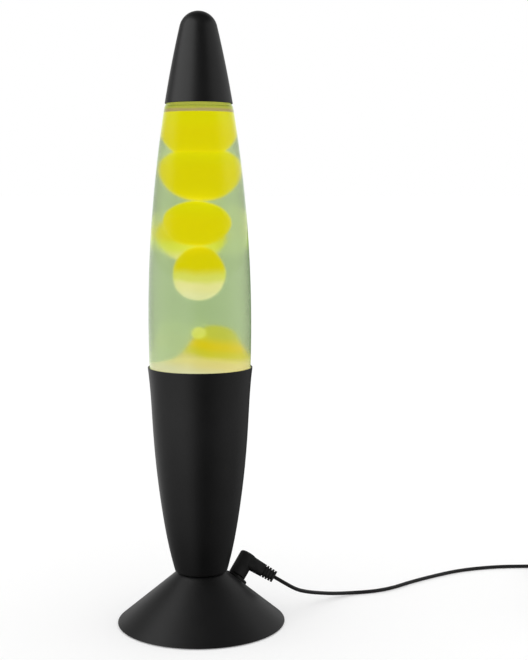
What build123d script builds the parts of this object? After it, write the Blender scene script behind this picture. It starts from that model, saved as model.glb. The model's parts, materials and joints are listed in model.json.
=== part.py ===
from build123d import *

import os
from math import asin, cos, degrees, pi, radians, sin, tan

# A table lava lamp on a spun metal base, with its low-voltage lead and plug-in power supply.
# Millimetres, +Z up. The origin is on the lamp's axis, at the surface that its rubber feet stand on.

# ---------------------------------------------------------------- driving dimensions

LAMP_HEIGHT = 400.0
CAP_EDGE_Z = 341.6          # lower edge of the top cap
RIM_Z = 171.7               # upper rim of the upper base
WAIST_Z = 35.2              # underside of the upper base
SPACER_HEIGHT = 0.8         # ring between the upper base and the foot
FOOT_RADIUS = 56.0
FOOT_SLOPE = 40.04          # degrees between the foot's side and the table
FOOT_LIFT = 0.6             # the foot's edge clears the table by this much
SHEET = 0.8                 # spun sheet of the cap and the upper base
FOOT_SHEET = 1.0

BELLY_RADIUS = 33.47        # the bottle's widest place
BELLY_Z = 200.0
SIDE_ARC = 856.0            # the bottle's side is one long arc
SHOULDER_Z = 338.4          # where the side turns in under the cap
GLASS = 3.0                 # wall of the bottle
LIQUID_Z = 338.5            # surface of the liquid
LIQUID_GAP = 0.05           # the liquid stops this far from the glass

CAP_SIDE_ARC = 720.0
CAP_EDGE_RADIUS = 21.75

SLIDE_GAP = 0.3             # between curved faces of pieces that move apart

CORD_RADIUS = 1.3
COIL_CENTRE = (274.0, 100.0)
COIL_RADIUS = 17.5          # to the middle of the turns
COIL_SECTION = 10.0         # the bundle of turns, width and height

ADAPTER_X = 292.0           # middle of the power supply
ADAPTER_END_Y = 58.0        # its end face, where the lead comes out
ADAPTER_SIZE = (42.0, 66.0, 28.0)
MAINS_PIN_PITCH = 19.0

os.makedirs("parts", exist_ok=True)


def save(piece, name):
    """Label a finished piece and write its file."""
    piece.label = name
    export_step(piece, f"parts/{name}.step")


# ---------------------------------------------------------------- shared outlines


def foot_side_z(radius):
    """Height of the foot's outside at a distance from the axis."""
    return FOOT_LIFT + (FOOT_RADIUS - radius) * tan(radians(FOOT_SLOPE))


def foot_side_radius(height, inward=0.0):
    """Distance from the axis of the foot's side, or of a face that far inside it."""
    drop = inward / cos(radians(FOOT_SLOPE))
    return FOOT_RADIUS - (height + drop - FOOT_LIFT) / tan(radians(FOOT_SLOPE))


SIDE_UP_TURN = degrees(asin((SHOULDER_Z - BELLY_Z) / SIDE_ARC))
SIDE_DOWN = 28.0            # the long arc goes this far below the widest place
SIDE_DOWN_TURN = degrees(asin(SIDE_DOWN / SIDE_ARC))
SHOULDER_ARC = 7.0
SHOULDER_TURN = 65.0
NECK_ARC = 6.0
NECK_TOP_Z = 360.0
LOWER_ARC = 60.0            # draws the bottle in below the rim
LOWER_TURN = 20.0
HEEL_ARC = 6.0


def bottle_outline(inset):
    """Closed half outline of the bottle, moved in from its outside: heel, side, shoulder, neck."""
    widest = (BELLY_RADIUS - inset, BELLY_Z)
    side = JernArc(widest, (0, 1), SIDE_ARC - inset, SIDE_UP_TURN)
    shoulder = JernArc(side @ 1, side % 1, SHOULDER_ARC - inset, SHOULDER_TURN)
    hollow = JernArc(shoulder @ 1, shoulder % 1, NECK_ARC + inset, -SIDE_UP_TURN - SHOULDER_TURN)
    neck = Line(hollow @ 1, ((hollow @ 1).X, NECK_TOP_Z))
    mouth = Line(neck @ 1, (0, NECK_TOP_Z))
    lower_side = JernArc(widest, (0, -1), SIDE_ARC - inset, -SIDE_DOWN_TURN)
    draw_in = JernArc(lower_side @ 1, lower_side % 1, LOWER_ARC - inset, -LOWER_TURN)
    heel_turn = 90.0 - SIDE_DOWN_TURN - LOWER_TURN
    heel = JernArc(draw_in @ 1, draw_in % 1, HEEL_ARC - inset, -heel_turn)
    bottom = Line(heel @ 1, (0, (heel @ 1).Y))
    Line(bottom @ 1, mouth @ 1)


def bottle_bottom_z():
    """Height of the bottle's flat underside."""
    turned = SIDE_DOWN_TURN + LOWER_TURN
    drawn_in = LOWER_ARC * (sin(radians(turned)) - sin(radians(SIDE_DOWN_TURN)))
    heel = HEEL_ARC * (1.0 - sin(radians(turned)))
    return BELLY_Z - SIDE_DOWN - drawn_in - heel


# The cap's dome is a sphere on the axis that meets the long side arc smoothly.
CAP_SIDE_CENTRE = (-688.46, 223.89)
DOME_CENTRE_Z = 387.67
DOME_RADIUS = LAMP_HEIGHT - DOME_CENTRE_Z


def cap_outline(inset):
    """Closed half outline of the cap's outside, or of its inside when inset by the sheet."""
    side_radius = CAP_SIDE_ARC - inset
    edge_rise = asin((CAP_EDGE_Z - CAP_SIDE_CENTRE[1]) / side_radius)
    edge = (CAP_SIDE_CENTRE[0] + side_radius * cos(edge_rise), CAP_EDGE_Z)
    join_rise = asin((DOME_CENTRE_Z - CAP_SIDE_CENTRE[1]) / (CAP_SIDE_ARC - DOME_RADIUS))
    dome = DOME_RADIUS - inset
    join = (dome * cos(join_rise), DOME_CENTRE_Z + dome * sin(join_rise))
    top = (0, DOME_CENTRE_Z + dome)
    middle_rise = (edge_rise + join_rise) / 2
    side_middle = (
        CAP_SIDE_CENTRE[0] + side_radius * cos(middle_rise),
        CAP_SIDE_CENTRE[1] + side_radius * sin(middle_rise),
    )
    dome_rise = (join_rise + pi / 2) / 2
    dome_middle = (dome * cos(dome_rise), DOME_CENTRE_Z + dome * sin(dome_rise))
    Line((0, CAP_EDGE_Z), edge)
    ThreePointArc(edge, side_middle, join)
    ThreePointArc(join, dome_middle, top)
    Line(top, (0, CAP_EDGE_Z))


# The upper base swells from the waist and flares at the rim.
BASE_SIDE = [
    (17.4, WAIST_Z),
    (20.6, 47.9),
    (25.7, 76.4),
    (29.2, 104.7),
    (31.4, 133.0),
    (32.75, 156.0),
    (34.32, RIM_Z),
]


def base_outline(inset, bottom_z):
    """Closed half outline of the upper base, moved in from its outside."""
    points = [(radius - inset, height) for radius, height in BASE_SIDE]
    if inset:
        points[0] = (points[0][0] + 0.25, bottom_z)
    side = Spline(points)
    Line(side @ 1, (0, RIM_Z))
    Line((0, RIM_Z), (0, bottom_z))
    Line((0, bottom_z), side @ 0)


# ---------------------------------------------------------------- top cap

with BuildPart() as top_cap:
    with BuildSketch(Plane.XZ):
        with BuildLine():
            cap_outline(0)
        make_face()
        with BuildLine():
            cap_outline(SHEET)
        make_face(mode=Mode.SUBTRACT)
    revolve(axis=Axis.Z)
    fillet(top_cap.edges().group_by(Axis.Z)[0], radius=0.3)
save(top_cap.part, "top_cap")

# A foam plug in the dome rests on the bottle's closure and keeps the cap upright.
CROWN_TOP_Z = 361.3
FOAM_HEIGHT = 8.0
FOAM_BOTTOM_Z = CROWN_TOP_Z + SLIDE_GAP

with BuildPart() as cap_foam_pad:
    with BuildSketch(Plane.XZ):
        with BuildLine():
            cap_outline(SHEET + 0.1)
        make_face()
        with Locations((0, FOAM_BOTTOM_Z)):
            Rectangle(60, 60, align=(Align.CENTER, Align.MAX), mode=Mode.SUBTRACT)
        with Locations((0, FOAM_BOTTOM_Z + FOAM_HEIGHT)):
            Rectangle(60, 60, align=(Align.CENTER, Align.MIN), mode=Mode.SUBTRACT)
    revolve(axis=Axis.Z)
save(cap_foam_pad.part, "cap_foam_pad")

# ---------------------------------------------------------------- bottle and closure

LIP_RADIUS = 13.3
LIP_HEIGHT = 4.6

with BuildPart() as glass_bottle:
    with BuildSketch(Plane.XZ):
        with BuildLine():
            bottle_outline(0)
        make_face()
        with Locations((0, NECK_TOP_Z)):
            Rectangle(LIP_RADIUS, LIP_HEIGHT, align=(Align.MIN, Align.MAX))
        with BuildLine():
            bottle_outline(GLASS)
        make_face(mode=Mode.SUBTRACT)
    revolve(axis=Axis.Z)
    lip_edges = glass_bottle.edges().group_by(Axis.Z)[-1]
    fillet(lip_edges.sort_by(SortBy.LENGTH)[-1], radius=1.2)
save(glass_bottle.part, "glass_bottle")

LINER_HEIGHT = 0.8
CROWN_SHEET = 0.5
CROWN_SKIRT = 6.0
CROWN_FLUTES = 21

with BuildPart() as crown_liner:
    with BuildSketch(Plane.XY.offset(NECK_TOP_Z)):
        Circle(LIP_RADIUS - 0.4)
    extrude(amount=LINER_HEIGHT)
save(crown_liner.part, "crown_liner")

with BuildPart() as crown_cap:
    with BuildSketch(Plane.XZ):
        with BuildLine():
            Polyline(
                (0, CROWN_TOP_Z),
                (13.6, CROWN_TOP_Z),
                (16.0, CROWN_TOP_Z - CROWN_SKIRT),
                (15.3, CROWN_TOP_Z - CROWN_SKIRT),
                (13.5, CROWN_TOP_Z - CROWN_SHEET),
                (0, CROWN_TOP_Z - CROWN_SHEET),
                close=True,
            )
        make_face()
    revolve(axis=Axis.Z)
    fillet(crown_cap.edges().group_by(Axis.Z)[-1], radius=1.0)
    with BuildSketch(Plane.XY.offset(CROWN_TOP_Z - CROWN_SKIRT)):
        with PolarLocations(16.3, CROWN_FLUTES):
            Circle(0.8)
    extrude(amount=3.2, mode=Mode.SUBTRACT)
save(crown_cap.part, "crown_cap")

# ---------------------------------------------------------------- wax and liquid


def ellipsoid(centre, half_width, half_height):
    """A drop of wax, round from above."""
    with BuildPart() as drop:
        Sphere(1.0)
        scale(by=(half_width, half_width, half_height))
    return Pos(*centre) * drop.part


# Wax that has gathered under the liquid's surface, with a rounded underside.
WAX_TOP_Z = LIQUID_Z - 0.9
WAX_DOME_CENTRE_Z = 329.4
WAX_DOME_RADIUS = 24.2
WAX_DOME_EDGE = radians(29.7)   # below the dome's centre, where the side begins
WAX_DOME_MIDDLE = (WAX_DOME_EDGE + pi / 2) / 2


def wax_dome(angle):
    """A point of the underside of the gathered wax, at an angle below level."""
    return (WAX_DOME_RADIUS * cos(angle), WAX_DOME_CENTRE_Z - WAX_DOME_RADIUS * sin(angle))


with BuildPart() as wax_top_mass:
    with BuildSketch(Plane.XZ):
        with BuildLine():
            Line((0, WAX_TOP_Z), (18.5, WAX_TOP_Z))
            Line((18.5, WAX_TOP_Z), wax_dome(WAX_DOME_EDGE))
            ThreePointArc(wax_dome(WAX_DOME_EDGE), wax_dome(WAX_DOME_MIDDLE), wax_dome(pi / 2))
            Line(wax_dome(pi / 2), (0, WAX_TOP_Z))
        make_face()
    revolve(axis=Axis.Z)
    fillet(wax_top_mass.edges().group_by(Axis.Z)[-1], radius=2.0)
save(wax_top_mass.part, "wax_top_mass")

# Loose wax: the middle of each drop, half its width and half its height. Two of them drift.
WAX_DROPS = {
    "wax_blob_upper": ((0.6, 0.5, 292.8), 20.0, 12.0),
    "wax_blob_middle": ((-1.1, -8.0, 265.0), 18.0, 14.0),
    "wax_blob_rear": ((-4.0, 13.2, 255.0), 14.2, 15.2),
    "wax_ball": ((0.1, -8.0, 233.2), 14.0, 17.1),
    "wax_droplet": ((-0.6, 0.0, 195.0), 3.7, 3.7),
}
DRIFTING = ("wax_ball", "wax_droplet")

for name in ("wax_blob_upper", "wax_blob_middle", "wax_ball", "wax_droplet"):
    save(ellipsoid(*WAX_DROPS[name]), name)

# The blob at the back of the bottle is pressed hollow by the one in front of it.
with BuildPart() as wax_blob_rear:
    add(ellipsoid(*WAX_DROPS["wax_blob_rear"]))
    add(ellipsoid(*WAX_DROPS["wax_blob_middle"]), mode=Mode.SUBTRACT)
save(wax_blob_rear.part, "wax_blob_rear")

# The pool of wax on the bottom, with a column rising from it towards the back.
POOL_SIDE_Z = 170.6
POOL_TOP_Z = 178.3
MOUND_CENTRE = (7.5, 13.5, 165.0)
MOUND_RADIUS = 11.5
MOUND_HEIGHT = 34.5

with BuildPart() as wax_pool:
    with BuildSketch(Plane.XZ):
        with BuildLine():
            bottle_outline(GLASS + 0.6)
        make_face()
        with BuildLine():
            ThreePointArc((0, POOL_TOP_Z), (17.0, 176.2), (32.0, POOL_SIDE_Z))
            Polyline((32.0, POOL_SIDE_Z), (40, POOL_SIDE_Z), (40, 380), (0, 380), (0, POOL_TOP_Z))
        make_face(mode=Mode.SUBTRACT)
    revolve(axis=Axis.Z)
    with BuildSketch(Plane(MOUND_CENTRE, x_dir=(1, 0, 0), z_dir=(0, -1, 0))):
        Ellipse(MOUND_RADIUS, MOUND_HEIGHT)
        Rectangle(MOUND_RADIUS, MOUND_HEIGHT, align=(Align.MIN, Align.MIN), mode=Mode.INTERSECT)
    revolve(axis=Axis(MOUND_CENTRE, (0, 0, 1)))
save(wax_pool.part, "wax_pool")

# A steel spring lies in the pool and breaks the wax up as it warms.
SPRING_RADIUS = 18.0
SPRING_WIRE = 0.65

with BuildPart() as wax_spring:
    with BuildLine():
        spring_line = Helix(pitch=2.4, height=4.8, radius=SPRING_RADIUS, center=(0, 0, 153.0))
    with BuildSketch(Plane(spring_line @ 0, z_dir=spring_line % 0)):
        Circle(SPRING_WIRE)
    sweep(is_frenet=True)
save(wax_spring.part, "wax_spring")

with BuildPart() as liquid_fill:
    with BuildSketch(Plane.XZ):
        with BuildLine():
            bottle_outline(GLASS + LIQUID_GAP)
        make_face()
        with Locations((0, LIQUID_Z)):
            Rectangle(80, 60, align=(Align.CENTER, Align.MIN), mode=Mode.SUBTRACT)
    revolve(axis=Axis.Z)
    add(wax_top_mass.part, mode=Mode.SUBTRACT)
    add(wax_pool.part, mode=Mode.SUBTRACT)
    for name, (centre, half_width, half_height) in WAX_DROPS.items():
        gap = SLIDE_GAP if name in DRIFTING else LIQUID_GAP
        add(ellipsoid(centre, half_width + gap, half_height + gap), mode=Mode.SUBTRACT)
save(liquid_fill.part, "liquid_fill")

# ---------------------------------------------------------------- upper base

TUBE_HOLE = 5.1

with BuildPart() as upper_base:
    with BuildSketch(Plane.XZ):
        with BuildLine():
            base_outline(0, WAIST_Z)
        make_face()
        with BuildLine():
            base_outline(SHEET, WAIST_Z + FOOT_SHEET)
        make_face(mode=Mode.SUBTRACT)
    revolve(axis=Axis.Z)
    fillet(upper_base.edges().group_by(Axis.Z)[-1], radius=0.35)
    fillet(upper_base.edges().group_by(Axis.Z)[0], radius=0.6)
    with BuildSketch(Plane.XY.offset(WAIST_Z)):
        Circle(TUBE_HOLE)
    extrude(amount=FOOT_SHEET, mode=Mode.SUBTRACT)
save(upper_base.part, "upper_base")

# A pressed ring wedged in the upper base carries the bottle on three soft pads.
SEAT_TOP_Z = 145.0
SEAT_HOLE = 19.0

with BuildPart() as bottle_seat:
    with BuildSketch(Plane.XZ):
        with BuildLine():
            Polyline(
                (SEAT_HOLE, SEAT_TOP_Z),
                (31.1, SEAT_TOP_Z),
                (30.8, SEAT_TOP_Z - 6.5),
                (29.8, SEAT_TOP_Z - 6.5),
                (30.0, SEAT_TOP_Z - 1.2),
                (SEAT_HOLE, SEAT_TOP_Z - 1.2),
                close=True,
            )
        make_face()
    revolve(axis=Axis.Z)
save(bottle_seat.part, "bottle_seat")

with BuildPart() as seat_pads:
    with BuildSketch(Plane.XY.offset(SEAT_TOP_Z)):
        with PolarLocations(22.5, 3):
            Circle(3.0)
    extrude(amount=bottle_bottom_z() - SLIDE_GAP - SEAT_TOP_Z)
save(seat_pads.part, "seat_pads")

# ---------------------------------------------------------------- foot

FOOT_TOP_Z = WAIST_Z - SPACER_HEIGHT
HEM_WIDTH = 1.1             # the foot's edge is rolled in under the base plate
HEM_TOP_Z = FOOT_LIFT + FOOT_SHEET
PLATE_THICKNESS = 1.8

# The power jack stands square to the foot's side, turned back from the right-hand side.
JACK_AZIMUTH = radians(40.0)
JACK_DISTANCE = 28.8
PLUG_TURN = radians(-42.0)  # the plug's arm, turned from straight downhill
SLOPE = radians(FOOT_SLOPE)
JACK_OUT = Vector(sin(SLOPE) * cos(JACK_AZIMUTH), sin(SLOPE) * sin(JACK_AZIMUTH), cos(SLOPE))
JACK_DOWN = Vector(cos(SLOPE) * cos(JACK_AZIMUTH), cos(SLOPE) * sin(JACK_AZIMUTH), -sin(SLOPE))
JACK_ACROSS = JACK_OUT.cross(JACK_DOWN)
JACK_CENTRE = Vector(
    JACK_DISTANCE * cos(JACK_AZIMUTH),
    JACK_DISTANCE * sin(JACK_AZIMUTH),
    foot_side_z(JACK_DISTANCE),
)
jack_plane = Plane(
    JACK_CENTRE,
    x_dir=JACK_DOWN * cos(PLUG_TURN) + JACK_ACROSS * sin(PLUG_TURN),
    z_dir=JACK_OUT,
)
JACK_RADIUS = 5.3           # the jack's threaded body
JACK_HOLE = 5.4

with BuildPart() as foot:
    with BuildSketch(Plane.XZ):
        with BuildLine():
            Polyline(
                (FOOT_RADIUS, FOOT_LIFT),
                (foot_side_radius(FOOT_TOP_Z), FOOT_TOP_Z),
                (TUBE_HOLE, FOOT_TOP_Z),
                (TUBE_HOLE, FOOT_TOP_Z - FOOT_SHEET),
                (foot_side_radius(FOOT_TOP_Z - FOOT_SHEET, FOOT_SHEET), FOOT_TOP_Z - FOOT_SHEET),
                (foot_side_radius(HEM_TOP_Z, FOOT_SHEET), HEM_TOP_Z),
                (foot_side_radius(HEM_TOP_Z, FOOT_SHEET) - HEM_WIDTH, HEM_TOP_Z),
                (foot_side_radius(HEM_TOP_Z, FOOT_SHEET) - HEM_WIDTH, FOOT_LIFT),
                close=True,
            )
        face = make_face()
        fillet(face.vertices().sort_by(Axis.X)[-1], radius=0.25)
    revolve(axis=Axis.Z)
    with BuildSketch(jack_plane.offset(-4)):
        Circle(JACK_HOLE)
    extrude(amount=8, mode=Mode.SUBTRACT)
save(foot.part, "foot")

with BuildPart() as waist_spacer:
    with BuildSketch(Plane.XY.offset(FOOT_TOP_Z)):
        Circle(13.5)
        Circle(TUBE_HOLE, mode=Mode.SUBTRACT)
    extrude(amount=SPACER_HEIGHT)
save(waist_spacer.part, "waist_spacer")

PLATE_EDGE = 0.15           # clearance round the base plate

with BuildPart() as base_plate:
    with BuildSketch(Plane.XZ):
        with BuildLine():
            Polyline(
                (0, HEM_TOP_Z),
                (foot_side_radius(HEM_TOP_Z, FOOT_SHEET) - PLATE_EDGE, HEM_TOP_Z),
                (
                    foot_side_radius(HEM_TOP_Z + PLATE_THICKNESS, FOOT_SHEET) - PLATE_EDGE,
                    HEM_TOP_Z + PLATE_THICKNESS,
                ),
                (0, HEM_TOP_Z + PLATE_THICKNESS),
                close=True,
            )
        make_face()
    revolve(axis=Axis.Z)
save(base_plate.part, "base_plate")

FEET_CIRCLE = 43.0

with BuildPart() as rubber_feet:
    with BuildSketch(Plane.XY):
        with PolarLocations(FEET_CIRCLE, 4, start_angle=45):
            Circle(5.5)
    extrude(amount=HEM_TOP_Z)
    fillet(rubber_feet.edges().group_by(Axis.Z)[0], radius=0.4)
save(rubber_feet.part, "rubber_feet")

# ---------------------------------------------------------------- threaded tube through the waist

TUBE_RADIUS = 5.0
TUBE_BORE = 4.0
WASHER_HEIGHT = 1.0
NUT_HEIGHT = 3.0
NUT_CORNER = 8.08           # centre to corner
BRACKET_SHEET = 1.2
FLOOR_Z = WAIST_Z + FOOT_SHEET
UPPER_WASHER_Z = FLOOR_Z + BRACKET_SHEET
LOWER_WASHER_Z = FOOT_TOP_Z - FOOT_SHEET - WASHER_HEIGHT

with BuildPart() as threaded_tube:
    with BuildSketch(Plane.XY.offset(LOWER_WASHER_Z - NUT_HEIGHT - 1.6)):
        Circle(TUBE_RADIUS)
        Circle(TUBE_BORE, mode=Mode.SUBTRACT)
    extrude(amount=UPPER_WASHER_Z - LOWER_WASHER_Z + WASHER_HEIGHT + 2 * NUT_HEIGHT + 3.2)
save(threaded_tube.part, "threaded_tube")

with BuildPart() as tube_washers:
    for height in (UPPER_WASHER_Z, LOWER_WASHER_Z):
        with BuildSketch(Plane.XY.offset(height)):
            Circle(8.5)
            Circle(TUBE_HOLE, mode=Mode.SUBTRACT)
        extrude(amount=WASHER_HEIGHT)
save(tube_washers.part, "tube_washers")

with BuildPart() as tube_nuts:
    for height in (UPPER_WASHER_Z + WASHER_HEIGHT, LOWER_WASHER_Z - NUT_HEIGHT):
        with BuildSketch(Plane.XY.offset(height)):
            RegularPolygon(NUT_CORNER, 6)
            Circle(TUBE_RADIUS + 0.02, mode=Mode.SUBTRACT)
        extrude(amount=NUT_HEIGHT)
save(tube_nuts.part, "tube_nuts")

# ---------------------------------------------------------------- bracket, holder and bulb

HOLDER_Z = 79.5             # underside of the lamp holder
HOLDER_HEIGHT = 9.0
HOLDER_LENGTH = 19.0
HOLDER_DEPTH = 9.0
BRACKET_LENGTH = 24.0
BRACKET_WIDTH = 16.0
SCREW_OFFSET = 6.8
SCREW_RADIUS = 1.25
PIN_OFFSET = 2.0            # half of the 4 mm between the bulb's pins
PIN_RADIUS = 0.5

with BuildPart() as lamp_bracket:
    with BuildSketch(Plane.XZ.offset(-BRACKET_WIDTH / 2)):
        with BuildLine():
            Polyline(
                (BRACKET_LENGTH / 2, FLOOR_Z),
                (-BRACKET_LENGTH / 2, FLOOR_Z),
                (-BRACKET_LENGTH / 2, HOLDER_Z),
                (BRACKET_LENGTH / 2, HOLDER_Z),
                (BRACKET_LENGTH / 2, HOLDER_Z - BRACKET_SHEET),
                (BRACKET_SHEET - BRACKET_LENGTH / 2, HOLDER_Z - BRACKET_SHEET),
                (BRACKET_SHEET - BRACKET_LENGTH / 2, FLOOR_Z + BRACKET_SHEET),
                (BRACKET_LENGTH / 2, FLOOR_Z + BRACKET_SHEET),
                close=True,
            )
        make_face()
    extrude(amount=BRACKET_WIDTH)
    with BuildSketch(Plane.XY.offset(FLOOR_Z)):
        Circle(TUBE_HOLE)
    extrude(amount=BRACKET_SHEET, mode=Mode.SUBTRACT)
    with BuildSketch(Plane.XY.offset(HOLDER_Z - BRACKET_SHEET)):
        Circle(3.6)
        with Locations((-SCREW_OFFSET, 0), (SCREW_OFFSET, 0)):
            Circle(SCREW_RADIUS + 0.1)
    extrude(amount=BRACKET_SHEET, mode=Mode.SUBTRACT)
save(lamp_bracket.part, "lamp_bracket")

with BuildPart() as lamp_holder:
    with BuildSketch(Plane.XY.offset(HOLDER_Z)):
        RectangleRounded(HOLDER_LENGTH, HOLDER_DEPTH, 2.0)
    extrude(amount=HOLDER_HEIGHT)
    with BuildSketch(Plane.XY.offset(HOLDER_Z + 1.0)):
        with Locations((-PIN_OFFSET, 0), (PIN_OFFSET, 0)):
            Circle(PIN_RADIUS + 0.08)
    extrude(amount=HOLDER_HEIGHT, mode=Mode.SUBTRACT)
    with Locations(
        (-SCREW_OFFSET, 0, HOLDER_Z + HOLDER_HEIGHT),
        (SCREW_OFFSET, 0, HOLDER_Z + HOLDER_HEIGHT),
    ):
        CounterBoreHole(radius=SCREW_RADIUS + 0.1, counter_bore_radius=2.5, counter_bore_depth=3.0)
save(lamp_holder.part, "lamp_holder")

with BuildPart() as holder_screws:
    for side in (-SCREW_OFFSET, SCREW_OFFSET):
        with BuildSketch(Plane.XY.offset(HOLDER_Z - 5.0)):
            with Locations((side, 0)):
                Circle(SCREW_RADIUS)
        extrude(amount=HOLDER_HEIGHT + 2.0)
        with BuildSketch(Plane.XY.offset(HOLDER_Z + HOLDER_HEIGHT - 3.0)):
            with Locations((side, 0)):
                Circle(2.3)
        extrude(amount=1.8)
        with BuildSketch(Plane.XY.offset(HOLDER_Z + HOLDER_HEIGHT - 1.8)):
            with Locations((side, 0)):
                Rectangle(3.6, 0.6)
        extrude(amount=0.6, mode=Mode.SUBTRACT)
save(holder_screws.part, "holder_screws")

with BuildPart() as holder_nuts:
    with BuildSketch(Plane.XY.offset(HOLDER_Z - BRACKET_SHEET - 2.0)):
        with Locations((-SCREW_OFFSET, 0), (SCREW_OFFSET, 0)):
            RegularPolygon(2.88, 6)
            Circle(SCREW_RADIUS + 0.02, mode=Mode.SUBTRACT)
    extrude(amount=2.0)
save(holder_nuts.part, "holder_nuts")

BULB_BASE_Z = HOLDER_Z + HOLDER_HEIGHT + SLIDE_GAP
BULB_FRONT_Z = 120.0
BULB_RADIUS = 17.5
BULB_NECK_Z = BULB_BASE_Z + 8.0
REFLECTOR_WALL = 1.2

with BuildPart() as bulb_base:
    with BuildSketch(Plane.XY.offset(BULB_BASE_Z)):
        RectangleRounded(13.0, 9.0, 2.0)
    extrude(amount=BULB_NECK_Z - BULB_BASE_Z)
save(bulb_base.part, "bulb_base")

with BuildPart() as bulb_reflector:
    with BuildSketch(Plane.XZ):
        with BuildLine():
            bowl = ThreePointArc((6.5, BULB_NECK_Z), (14.2, 105.5), (16.9, BULB_FRONT_Z - 2.6))
            Polyline(
                bowl @ 1,
                (BULB_RADIUS, BULB_FRONT_Z - 2.2),
                (BULB_RADIUS, BULB_FRONT_Z),
                (BULB_RADIUS - 0.8, BULB_FRONT_Z),
                (BULB_RADIUS - 0.8, BULB_FRONT_Z - 1.4),
                (16.9 - REFLECTOR_WALL, BULB_FRONT_Z - 1.4),
                (16.9 - REFLECTOR_WALL, BULB_FRONT_Z - 2.6),
            )
            ThreePointArc(
                (16.9 - REFLECTOR_WALL, BULB_FRONT_Z - 2.6),
                (14.2 - REFLECTOR_WALL, 106.0),
                (6.5, BULB_NECK_Z + REFLECTOR_WALL),
            )
            Polyline(
                (6.5, BULB_NECK_Z + REFLECTOR_WALL),
                (3.6, BULB_NECK_Z + REFLECTOR_WALL),
                (3.6, BULB_NECK_Z),
                (6.5, BULB_NECK_Z),
            )
        make_face()
    revolve(axis=Axis.Z)
save(bulb_reflector.part, "bulb_reflector")

with BuildPart() as bulb_front_glass:
    with BuildSketch(Plane.XY.offset(BULB_FRONT_Z - 1.4)):
        Circle(BULB_RADIUS - 0.85)
    extrude(amount=1.3)
save(bulb_front_glass.part, "bulb_front_glass")

with BuildPart() as bulb_capsule:
    with BuildSketch(Plane.XY.offset(BULB_NECK_Z)):
        Circle(3.4)
    extrude(amount=11.0)
    fillet(bulb_capsule.edges().group_by(Axis.Z)[-1], radius=3.0)
save(bulb_capsule.part, "bulb_capsule")

with BuildPart() as bulb_pins:
    with BuildSketch(Plane.XY.offset(BULB_BASE_Z - 7.0)):
        with Locations((-PIN_OFFSET, 0), (PIN_OFFSET, 0)):
            Circle(PIN_RADIUS)
    extrude(amount=7.0)
save(bulb_pins.part, "bulb_pins")

# ---------------------------------------------------------------- power jack

BEZEL_RADIUS = 8.3
BEZEL_HEIGHT = 1.4
JACK_DEPTH = 13.0
JACK_BORE = 3.2
JACK_BORE_DEPTH = 9.0
JACK_NUT_TOP = -1.85
TAG_OFFSET = 2.2
TAG_LENGTH = 4.0

with BuildPart() as foot_envelope:
    with BuildSketch(Plane.XZ):
        with BuildLine():
            Polyline(
                (0, FOOT_LIFT),
                (FOOT_RADIUS, FOOT_LIFT),
                (0, foot_side_z(0)),
                close=True,
            )
        make_face()
    revolve(axis=Axis.Z)

# The jack's bezel is moulded to sit on the foot's curved side.
with BuildPart() as jack_housing:
    with BuildSketch(jack_plane.offset(-3)):
        Circle(BEZEL_RADIUS)
    extrude(amount=3 + BEZEL_HEIGHT)
    fillet(jack_housing.edges().sort_by(Axis(JACK_CENTRE, JACK_OUT))[-1], radius=0.5)
    add(foot_envelope.part, mode=Mode.SUBTRACT)
    with BuildSketch(jack_plane.offset(-JACK_DEPTH)):
        Circle(JACK_RADIUS)
    extrude(amount=JACK_DEPTH + BEZEL_HEIGHT - 0.2)
    with BuildSketch(jack_plane.offset(-JACK_BORE_DEPTH)):
        Circle(JACK_BORE)
    extrude(amount=JACK_BORE_DEPTH + BEZEL_HEIGHT, mode=Mode.SUBTRACT)
save(jack_housing.part, "jack_housing")

with BuildPart() as jack_nut:
    with BuildSketch(jack_plane.offset(JACK_NUT_TOP - 2.2)):
        RegularPolygon(NUT_CORNER, 6)
        Circle(JACK_RADIUS + 0.03, mode=Mode.SUBTRACT)
    extrude(amount=2.2)
save(jack_nut.part, "jack_nut")

with BuildPart() as jack_pin:
    with BuildSketch(jack_plane.offset(-JACK_BORE_DEPTH)):
        Circle(1.0)
    extrude(amount=JACK_BORE_DEPTH - 0.8)
    fillet(jack_pin.edges().sort_by(Axis(JACK_CENTRE, JACK_OUT))[-1], radius=0.5)
save(jack_pin.part, "jack_pin")

with BuildPart() as jack_tags:
    with BuildSketch(jack_plane.offset(-JACK_DEPTH - TAG_LENGTH)):
        with Locations((0, -TAG_OFFSET), (0, TAG_OFFSET)):
            Rectangle(2.0, 0.6)
    extrude(amount=TAG_LENGTH)
save(jack_tags.part, "jack_tags")

# ---------------------------------------------------------------- wires and cords


def corner_radii(points):
    """Radius of the arc at each corner of a route, as large as its two runs allow."""
    places = [Vector(*point) for point in points]
    radii = []
    for before, corner, after in zip(places, places[1:], places[2:]):
        turn = radians((corner - before).get_angle(after - corner))
        shorter = min((corner - before).length, (after - corner).length)
        radii.append(0.45 * shorter / tan(turn / 2))
    return radii


def round_tube(points, radius, name):
    """A round cord along a route of straight runs joined by arcs."""
    radii = corner_radii(points)
    with BuildPart() as tube:
        with BuildLine():
            route = FilletPolyline(*points, radius=radii)
        with BuildSketch(Plane(route @ 0, z_dir=route % 0)):
            Circle(radius)
        sweep()
    expected = pi * radius**2 * route.length
    print(name, "length", round(route.length, 1), "radii", [round(value, 1) for value in radii])
    print(name, "volume", round(tube.part.volume, 1), "section times length", round(expected, 1))
    save(tube.part, name)


def jack_point(across, height):
    """A point beside the jack's axis, as a tuple."""
    place = JACK_CENTRE + jack_plane.y_dir * across + JACK_OUT * height
    return (place.X, place.Y, place.Z)


LEAD_RADIUS = 0.75
TAG_END = -JACK_DEPTH - TAG_LENGTH

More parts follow.
